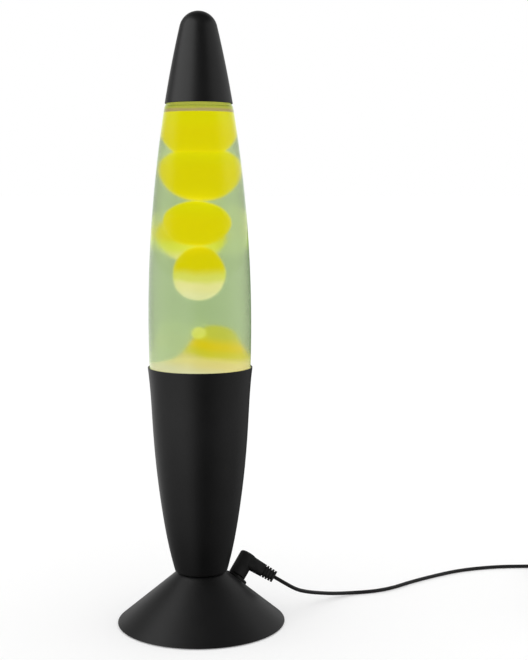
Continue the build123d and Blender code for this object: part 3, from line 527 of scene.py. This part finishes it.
def arc(start, heading, radius, turn, steps):
    """Points after start along an arc, and the new heading; a positive turn goes left. Degrees."""
    side = 1.0 if turn > 0 else -1.0
    centre = (
        start[0] - side * radius * sin(radians(heading)),
        start[1] + side * radius * cos(radians(heading)),
    )
    points = []
    for step in range(1, steps + 1):
        angle = radians(heading - side * 90.0 + turn * step / steps)
        points.append((centre[0] + radius * cos(angle), centre[1] + radius * sin(angle)))
    return points, heading + turn


# The bottle's outline, as in the CAD: one long arc, with a shoulder and a neck above it and a
# round heel below.
BELLY = (33.47, 200.0)
SIDE_ARC = 856.0
SHOULDER_Z = 338.4
SIDE_UP = degrees(asin((SHOULDER_Z - BELLY[1]) / SIDE_ARC))
SIDE_DOWN = degrees(asin(28.0 / SIDE_ARC))
SHOULDER_ARC, SHOULDER_TURN = 7.0, 65.0
NECK_ARC, NECK_TOP = 6.0, 360.0
LOWER_ARC, LOWER_TURN = 60.0, 20.0
HEEL_ARC = 6.0
GLASS = 3.0


def bottle_side(inset, top):
    """The bottle's outline moved in, from the axis at its bottom up to that height of its neck."""
    middle = (BELLY[0] - inset, BELLY[1])
    up, heading = arc(middle, 90.0, SIDE_ARC - inset, SIDE_UP, 40)
    shoulder, heading = arc(up[-1], heading, SHOULDER_ARC - inset, SHOULDER_TURN, 14)
    hollow, heading = arc(shoulder[-1], heading, NECK_ARC + inset, 90.0 - heading, 14)
    down, heading = arc(middle, -90.0, SIDE_ARC - inset, -SIDE_DOWN, 8)
    draw_in, heading = arc(down[-1], heading, LOWER_ARC - inset, -LOWER_TURN, 10)
    heel, heading = arc(draw_in[-1], heading, HEEL_ARC - inset, -180.0 - heading, 10)
    below = [*reversed(heel), *reversed(draw_in), *reversed(down)]
    above = [middle, *up, *shoulder, *hollow, (hollow[-1][0], top)]
    return [(0.0, heel[-1][1]), *below, *above]


LIP_RADIUS, LIP_DEPTH, LIP_ROUND = 13.3, 4.6, 1.2
outside = bottle_side(0.0, NECK_TOP - LIP_DEPTH)
inside = bottle_side(GLASS, NECK_TOP)
lip_corner, _ = arc((LIP_RADIUS, NECK_TOP - LIP_ROUND), 90.0, LIP_ROUND, 90.0, 6)
lip = [
    (LIP_RADIUS - 0.3, NECK_TOP - LIP_DEPTH),
    (LIP_RADIUS, NECK_TOP - LIP_DEPTH + 0.3),
    (LIP_RADIUS, NECK_TOP - LIP_ROUND),
    *lip_corner,
]
add_mesh(
    "bottle", *lathe([*outside, *lip, *reversed(inside)]),
    "bottle_glass", "bottle", "bottle_glass", ["glass_bottle"],
)

# The liquid reaches a little into the glass, so that no air is left between them.
LIQUID_Z = 338.5
LIQUID_OVERLAP = 0.1
MENISCUS_WIDTH, MENISCUS_HEIGHT = 2.2, 0.9
MENISCUS_FALL = 2.2         # how fast it falls away from the wall, per millimetre
MENISCUS_STEPS = 8

wetted = [place for place in bottle_side(GLASS - LIQUID_OVERLAP, NECK_TOP) if place[1] < LIQUID_Z]
edge_radius = wetted[-1][0]
wetted.append((edge_radius - 0.03, LIQUID_Z + MENISCUS_HEIGHT))
for step in range(1, MENISCUS_STEPS + 1):
    away = MENISCUS_WIDTH * step / MENISCUS_STEPS
    rise = MENISCUS_HEIGHT * exp(-MENISCUS_FALL * away)
    wetted.append((edge_radius - LIQUID_OVERLAP - away, LIQUID_Z + rise))
wetted.append((0.0, LIQUID_Z))
add_mesh(
    "liquid", *lathe(wetted), "tinted_liquid", "bottle", "tinted_liquid", ["liquid_fill"]
)

# The yellow-green band under the cap is a painted glow: a thin glowing sheet on the wall, from a
# little below the liquid's surface upwards, stands in for light that the glass carries up from
# the wax below. It reaches into the glass, and its lowest part is brownish.
FILM_TOP, FILM_BOTTOM = 347.0, LIQUID_Z - 2.8
FILM_SIDES = (-0.15, 0.25)  # depth of its two sides from the glass's inner wall
FILM_SPARE = 2.0            # outline kept below its lower edge, to cut it exactly there
film, film_inside = (
    [
        place
        for place in bottle_side(GLASS + depth, NECK_TOP)
        if FILM_BOTTOM - FILM_SPARE < place[1] < FILM_TOP
    ]
    for depth in FILM_SIDES
)
for side_points in (film, film_inside):
    while side_points[1][1] < FILM_BOTTOM:
        side_points.pop(0)
    share = (FILM_BOTTOM - side_points[0][1]) / (side_points[1][1] - side_points[0][1])
    side_points[0] = (
        side_points[0][0] + share * (side_points[1][0] - side_points[0][0]),
        FILM_BOTTOM,
    )
add_mesh(
    "wax_film", *lathe([*film, *reversed(film_inside), film[0]]), "wax_film", "bottle", "wax", []
)


def lumpy(place, amount, size, seed):
    """How far a point of a piece of wax moves outwards, in millimetres."""
    return amount * noise.noise(Vector(place) / size + Vector((seed, seed * 0.7, -seed)))


DROP_LUMPS = (0.9, 13.0)    # how far its surface strays, and over what distance


def wax_drop(
    name, centre, half_width, half_height, body, material, replaced, seed, sag=0.0, fullness=1.0
):
    """A floating drop, slightly uneven, and fuller below or above its middle."""
    rings, segments = 48, 80
    verts, faces = [], []
    for ring in range(rings + 1):
        rise = -pi / 2 + pi * ring / rings
        count = 1 if ring in (0, rings) else segments
        for step in range(count):
            angle = 2.0 * pi * step / segments
            reach = max(cos(rise), 0.0) ** fullness
            way = Vector((reach * cos(angle), reach * sin(angle), sin(rise)))
            width = half_width * (1.0 - sag * way.z * cos(rise) ** 2)
            place = (way.x * half_width, way.y * half_width, way.z * half_height)
            offset = lumpy(place, *DROP_LUMPS, seed)
            verts.append(
                (
                    centre[0] + way.x * (width + offset),
                    centre[1] + way.y * (width + offset),
                    centre[2] + way.z * (half_height + 0.6 * offset),
                )
            )

    def first(ring):
        return 0 if ring == 0 else 1 + (ring - 1) * segments

    for ring in range(rings):
        for step in range(segments):
            after = (step + 1) % segments
            if ring == 0:
                faces.append((0, first(1) + after, first(1) + step))
            elif ring == rings - 1:
                faces.append((first(ring) + step, first(ring) + after, first(rings)))
            else:
                faces.append(
                    (
                        first(ring) + step,
                        first(ring) + after,
                        first(ring + 1) + after,
                        first(ring + 1) + step,
                    )
                )
    return add_mesh(name, verts, faces, material, body, "wax", replaced)


wax_drop(
    "wax_upper", (0.6, 0.5, 296.3), 19.8, 17.3, "bottle", "wax", ["wax_blob_upper"], 3.1, -0.12, 0.9
)
wax_drop(
    "wax_middle", (-1.1, -8.0, 265.0), 18.1, 14.1, "bottle", "wax", ["wax_blob_middle"], 7.7, -0.05
)
wax_drop(
    "wax_rear", (-4.0, 13.2, 255.8), 14.6, 16.4, "bottle", "wax_rear", ["wax_blob_rear"], 5.2
)
wax_drop(
    "wax_round", (0.1, -8.0, 233.2), 14.0, 17.1, "wax_ball", "wax_ball", ["wax_ball"], 9.4, 0.04
)
wax_drop(
    "wax_small", (-0.6, 0.0, 195.0), 3.7, 3.7, "wax_droplet", "wax_droplet", ["wax_droplet"], 2.6
)

# Wax gathered under the surface.
TOP_WAX_Z = 337.6
DOME_CENTRE_Z, DOME_RADIUS, DOME_DEPTH, DOME_SPREAD = 330.1, 20.2, 25.3, 70.0
DOME_STEPS = 24
DOME_LUMPS = (0.8, 14.0)
TOP_WAX_ROUND = 2.0         # radius of its upper edge, by the wall
TOP_WAX_EDGE = (19.0, TOP_WAX_Z - TOP_WAX_ROUND)
TOP_WAX_SIDE = (20.0, 327.5)
TOP_WAX_SHELF = 18.8        # where the round edge starts, from the axis


def swollen(x, y, z):
    """A point moved a little in or out from the axis."""
    share = 1.0 + 0.02 * noise.noise(Vector((x, y, z)) / 15.0)
    return x * share, y * share


dome_angles = [radians(DOME_SPREAD * step / DOME_STEPS) for step in range(DOME_STEPS + 1)]
dome = [
    (DOME_RADIUS * sin(angle), DOME_CENTRE_Z - DOME_DEPTH * cos(angle)) for angle in dome_angles
]
shelf, _ = arc((TOP_WAX_SHELF, TOP_WAX_EDGE[1]), 100.0, TOP_WAX_ROUND, 80.0, 6)
gathered = [*dome, TOP_WAX_SIDE, TOP_WAX_EDGE, *shelf, (0.0, TOP_WAX_Z)]
verts, faces = lathe(gathered, 96)
verts = [
    (
        *swollen(x, y, z),
        z if z > TOP_WAX_Z - 1.0 else z + lumpy((x, y, z), *DOME_LUMPS, 4.4),
    )
    for x, y, z in verts
]
add_mesh("wax_gathered", verts, faces, "wax", "bottle", "wax", ["wax_top_mass"])

# The pool on the bottom, with a soft column rising from it towards the back.
POOL_EDGE_Z, POOL_RISE = 170.6, 8.0
MOUND_PLACE, MOUND_REACH, MOUND_HEIGHT = (7.0, 14.0), (13.5, 9.5), 21.5
POOL_CLEARANCE = 0.2        # from the glass
POOL_RINGS, POOL_SEGMENTS = 40, 128
POOL_RIPPLE = (0.5, 11.0)   # height, and over what distance
pool_outline = bottle_side(GLASS + POOL_CLEARANCE, NECK_TOP)
pool_wall = [place for place in pool_outline if place[1] < POOL_EDGE_Z]
pool_reach = pool_wall[-1][0]


def pool_height(x, y):
    """Height of the pool's upper surface."""
    away = sqrt(x * x + y * y) / pool_reach
    from_mound = sum(
        ((value - middle) / reach) ** 2
        for value, middle, reach in zip((x, y), MOUND_PLACE, MOUND_REACH)
    )
    ripple = POOL_RIPPLE[0] * noise.noise(Vector((x, y, 0.0)) / POOL_RIPPLE[1])
    return (
        POOL_EDGE_Z + POOL_RISE * (1.0 - away**2.2) + ripple * (1.0 - away)
        + MOUND_HEIGHT * exp(-(from_mound**1.6)) * min(1.0, 3.0 * (1.0 - away))
    )


top_rings = [
    (pool_reach * (1.0 - step / POOL_RINGS), 0.0) for step in range(1, POOL_RINGS + 1)
]
verts, faces = lathe([*pool_wall, (pool_reach, POOL_EDGE_Z), *top_rings], POOL_SEGMENTS)
wall_points = 1 + POOL_SEGMENTS * (len(pool_wall) - 1)
verts = [
    place if number < wall_points else (place[0], place[1], pool_height(place[0], place[1]))
    for number, place in enumerate(verts)
]
add_mesh("wax_bottom", verts, faces, "wax_pool", "bottle", "wax", ["wax_pool"])

# ---------------------------------------------------------------- finishes of the CAD nodes

power_cord.data.materials.append(MATERIALS["cord_pvc"])
for row in frame["record"]["subparts"]:
    node = frame["nodes"][row["node"]]
    if node.hide_render:
        continue
    node.data.materials.clear()
    node.data.materials.append(MATERIALS[row["material_slot"]])

# ---------------------------------------------------------------- studio


def area_light(name, place, target, size, power):
    """A soft box that faces the target."""
    data = bpy.data.lights.new(name, "AREA")
    data.shape = "RECTANGLE"
    data.size, data.size_y = size
    data.energy = power
    light = bpy.data.objects.new(name, data)
    light.location = place
    aim = Vector(target) - Vector(place)
    light.rotation_euler = aim.to_track_quat("-Z", "Y").to_euler()
    bpy.context.scene.collection.objects.link(light)
    return light


LIT_PLACE = (0.0, 0.0, 0.60)
key = area_light("key", (-1.015, -0.54, 1.0), LIT_PLACE, (2.2, 1.8), 23.0)
side = area_light("side", (1.10, -0.06, 0.70), LIT_PLACE, (2.0, 1.15), 5.0)

# The two boxes model the black parts, and the bottle takes its light from the white surroundings.
dark_parts = bpy.data.collections.new("dark_parts")
bpy.context.scene.collection.children.link(dark_parts)
for lamp in (key, side):
    lamp.light_linking.receiver_collection = dark_parts
dark_parts.objects.link(power_cord)
for row in frame["record"]["subparts"]:
    if row["material_slot"] in ("black_metal", "black_plastic", "black_rubber"):
        dark_parts.objects.link(frame["nodes"][row["node"]])


def for_rays(tree, kind, others, value):
    """A value that holds for one kind of ray only: mirrored by a surface or passed through one."""
    path = tree.nodes.new("ShaderNodeLightPath")
    chosen = path.outputs["Is Transmission Ray"]
    if kind == "mirrored":
        left = tree.nodes.new("ShaderNodeMath")
        left.operation = "SUBTRACT"
        left.use_clamp = True
        tree.links.new(path.outputs["Is Glossy Ray"], left.inputs[0])
        tree.links.new(chosen, left.inputs[1])
        chosen = left.outputs["Value"]
    choice = tree.nodes.new("ShaderNodeMapRange")
    tree.links.new(chosen, choice.inputs["Value"])
    for socket, wanted in (("To Min", others), ("To Max", value)):
        if isinstance(wanted, float):
            choice.inputs[socket].default_value = wanted
        else:
            tree.links.new(wanted, choice.inputs[socket])
    return choice.outputs["Result"]


def as_seen(tree, vector):
    """A direction along the camera's axes: X is to the right, and Z away from the camera."""
    turn = tree.nodes.new("ShaderNodeVectorTransform")
    turn.vector_type = "VECTOR"
    turn.convert_from, turn.convert_to = "WORLD", "CAMERA"
    tree.links.new(vector, turn.inputs["Vector"])
    parts = tree.nodes.new("ShaderNodeSeparateXYZ")
    tree.links.new(turn.outputs["Vector"], parts.inputs["Vector"])
    return parts.outputs


# White all round, but mirrored in a surface or seen through one it is bright behind the lamp
# and dark on the camera's side, as where black flags stand beside the camera. It turns with the
# camera. Each range gives two strengths, and the Z of the directions that they belong to, from
# -1 towards the camera to 1 away from it.
MIRRORED_RANGE = (0.03, 0.85, (0.35, 1.0))
THROUGH_RANGE = (0.04, 0.76, (-0.45, 0.10))

world = bpy.data.worlds.new("studio")
world.use_nodes = True
tree = world.node_tree
backdrop = tree.nodes["Background"]
backdrop.inputs["Color"].default_value = (1.0, 1.0, 1.0, 1.0)
direction = as_seen(tree, tree.nodes.new("ShaderNodeTexCoord").outputs["Generated"])
behind = spread(tree, direction["Z"], *MIRRORED_RANGE)
all_behind = spread(tree, direction["Z"], *THROUGH_RANGE)
strength = for_rays(tree, "mirrored", 1.0, behind)
tree.links.new(for_rays(tree, "through", strength, all_behind), backdrop.inputs["Strength"])
world.cycles.sampling_method = "NONE"
bpy.context.scene.world = world

FLOOR_REACH = 60.0
FLOOR_GLOW = 0.22           # keeps it as white as the photo's cut-out
FLOOR_MIRRORED = (0.35, 1.05, (0.08, 0.35))  # strengths near and far, and the distances in metres
floor_mesh = bpy.data.meshes.new("floor")
floor_mesh.from_pydata(
    [(x * FLOOR_REACH, y * FLOOR_REACH, 0.0) for x, y in ((-1, -1), (1, -1), (1, 1), (-1, 1))],
    [],
    [(0, 1, 2, 3)],
)
floor = bpy.data.objects.new("floor", floor_mesh)
bpy.context.scene.collection.objects.link(floor)
floor_finish, tree, shader = new_material("floor")
tree.links.new(
    ramp(tree, cloud(tree, coordinates(tree), 3.0), [(0.3, grey(0.80)), (0.7, grey(0.82))]),
    shader.inputs["Base Color"],
)
shader.inputs["Roughness"].default_value = 0.9
shader.inputs["Specular IOR Level"].default_value = 0.0

# Mirrored in the black parts, the floor shows a painted reflection: dark in front of the lamp and
# close to it, where the lamp shades it, and lit by the boxes at its sides. Seen through the bottle,
# it is as bright as the surroundings there.
around = tree.nodes.new("ShaderNodeVectorMath")
around.operation = "NORMALIZE"
tree.links.new(coordinates(tree), around.inputs[0])
bearing = as_seen(tree, around.outputs["Vector"])
distance = tree.nodes.new("ShaderNodeVectorMath")
distance.operation = "LENGTH"
tree.links.new(coordinates(tree), distance.inputs[0])
glow = tree.nodes.new("ShaderNodeEmission")
tree.links.new(
    ramp(
        tree,
        spread(tree, bearing["X"], 0.0, 1.0, (-1.0, 1.0)),
        [
            (0.0, grey(0.45)),
            (0.12, grey(0.65)),
            (0.28, grey(0.85)),
            (0.50, grey(0.03)),
            (0.64, grey(0.03)),
            (1.0, grey(0.42)),
        ],
    ),
    glow.inputs["Color"],
)
tree.links.new(
    spread(tree, distance.outputs["Value"], *FLOOR_MIRRORED), glow.inputs["Strength"]
)
seen = tree.nodes.new("ShaderNodeEmission")
tree.links.new(spread(tree, bearing["Z"], *THROUGH_RANGE), seen.inputs["Strength"])
shader.inputs["Emission Color"].default_value = (1.0, 1.0, 1.0, 1.0)
shader.inputs["Emission Strength"].default_value = FLOOR_GLOW
either = tree.nodes.new("ShaderNodeMixShader")
tree.links.new(for_rays(tree, "mirrored", 0.0, 1.0), either.inputs["Fac"])
tree.links.new(shader.outputs["BSDF"], either.inputs[1])
tree.links.new(glow.outputs["Emission"], either.inputs[2])
any_of_three = tree.nodes.new("ShaderNodeMixShader")
tree.links.new(for_rays(tree, "through", 0.0, 1.0), any_of_three.inputs["Fac"])
tree.links.new(either.outputs["Shader"], any_of_three.inputs[1])
tree.links.new(seen.outputs["Emission"], any_of_three.inputs[2])
tree.links.new(any_of_three.outputs["Shader"], output_of(tree).inputs["Surface"])
floor.data.materials.append(floor_finish)

bpy.context.scene.view_settings.view_transform = "Standard"
